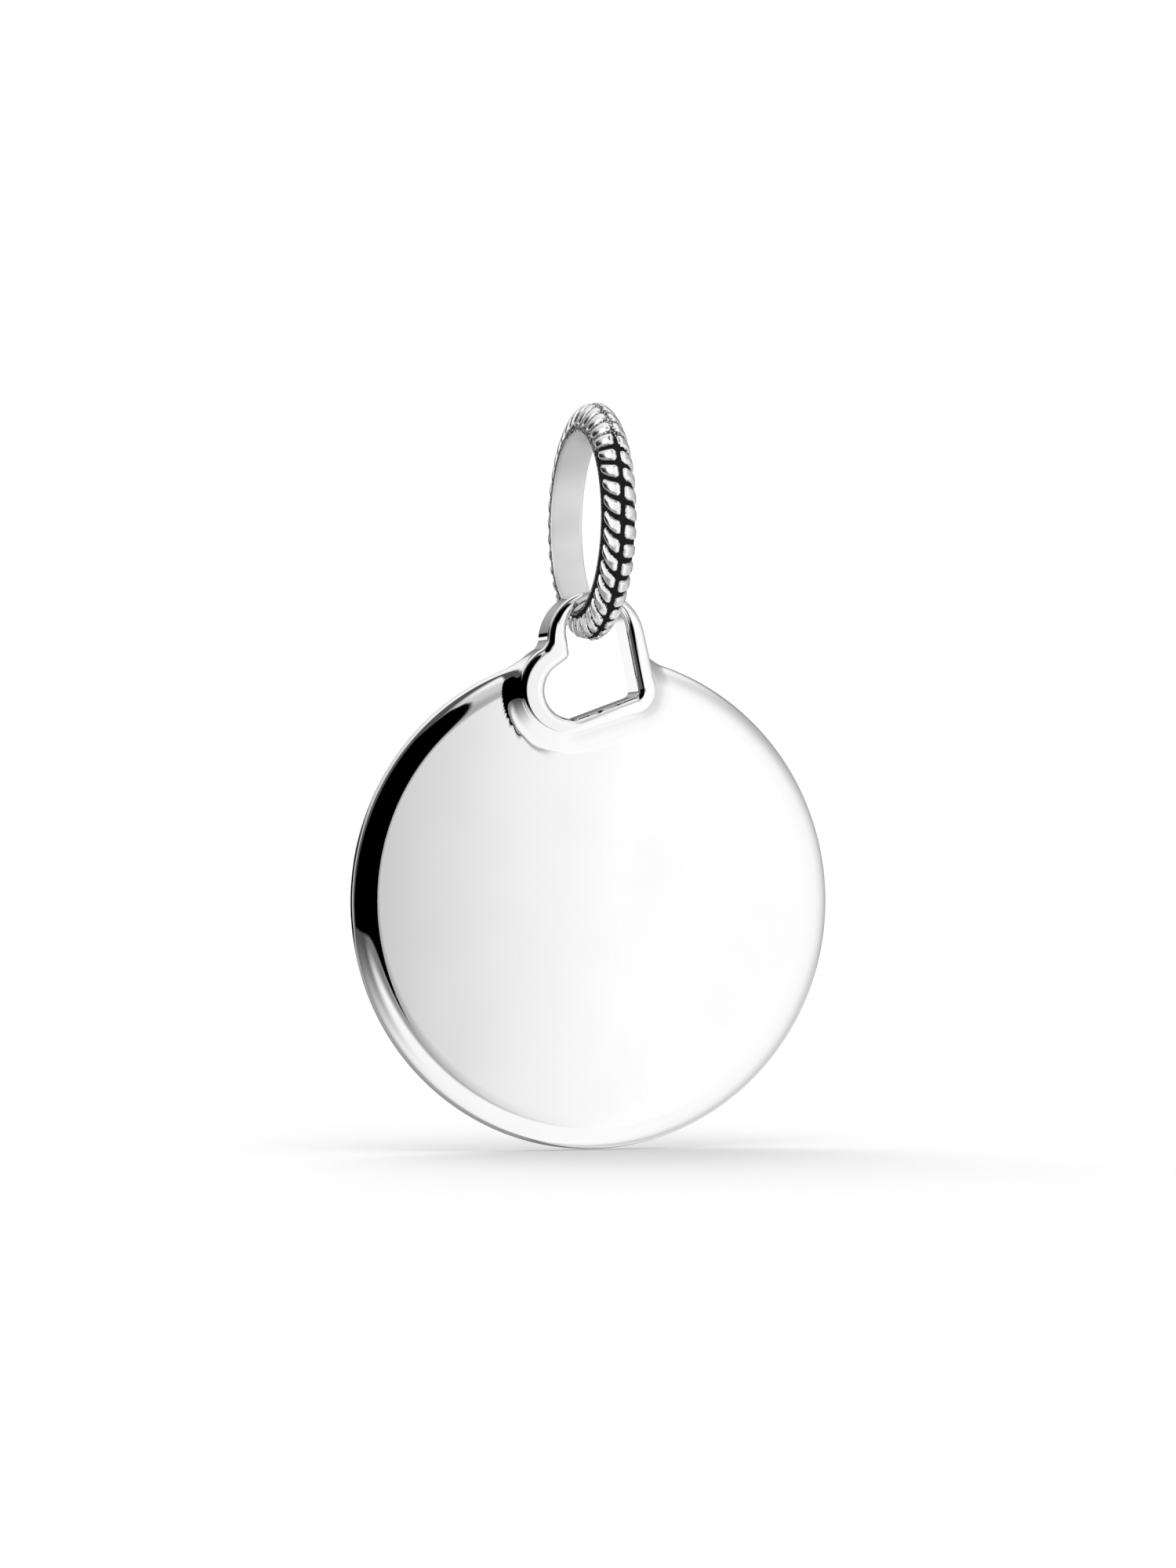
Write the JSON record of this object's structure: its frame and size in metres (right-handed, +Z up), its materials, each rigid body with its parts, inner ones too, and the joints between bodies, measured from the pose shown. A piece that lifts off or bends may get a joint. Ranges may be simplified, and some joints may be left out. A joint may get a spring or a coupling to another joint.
{
  "type": "disc pendant",
  "caption": "Polished round disc pendant with a raised heart-shaped eye at its top, hanging from a closed rope-patterned bail ring.",
  "frame": {"origin": "inside top of the bail ring, on its middle plane, where a chain or cord carries it", "axes": "+Z up, the pendant's face looks along -Y, +X is to the right seen from the front, and the chain runs through the ring along X"},
  "size_m": [0.022, 0.0106, 0.0332],
  "materials": {
    "oxidised_silver": "worn bright crests over dark oxidised grooves",
    "silver": "high polish with faint hairlines"
  },
  "bodies": {
    "bail": {"bail_ring": "oxidised_silver"},
    "drop": {"disc": "silver"}
  },
  "joints": [
    {"name": "drop_swing", "type": "hinge", "parent": "bail", "child": "drop", "pos_m": [0, 0, -0.00891], "axis": [0, 1, 0], "range_deg": [-60, 60]}
  ]
}
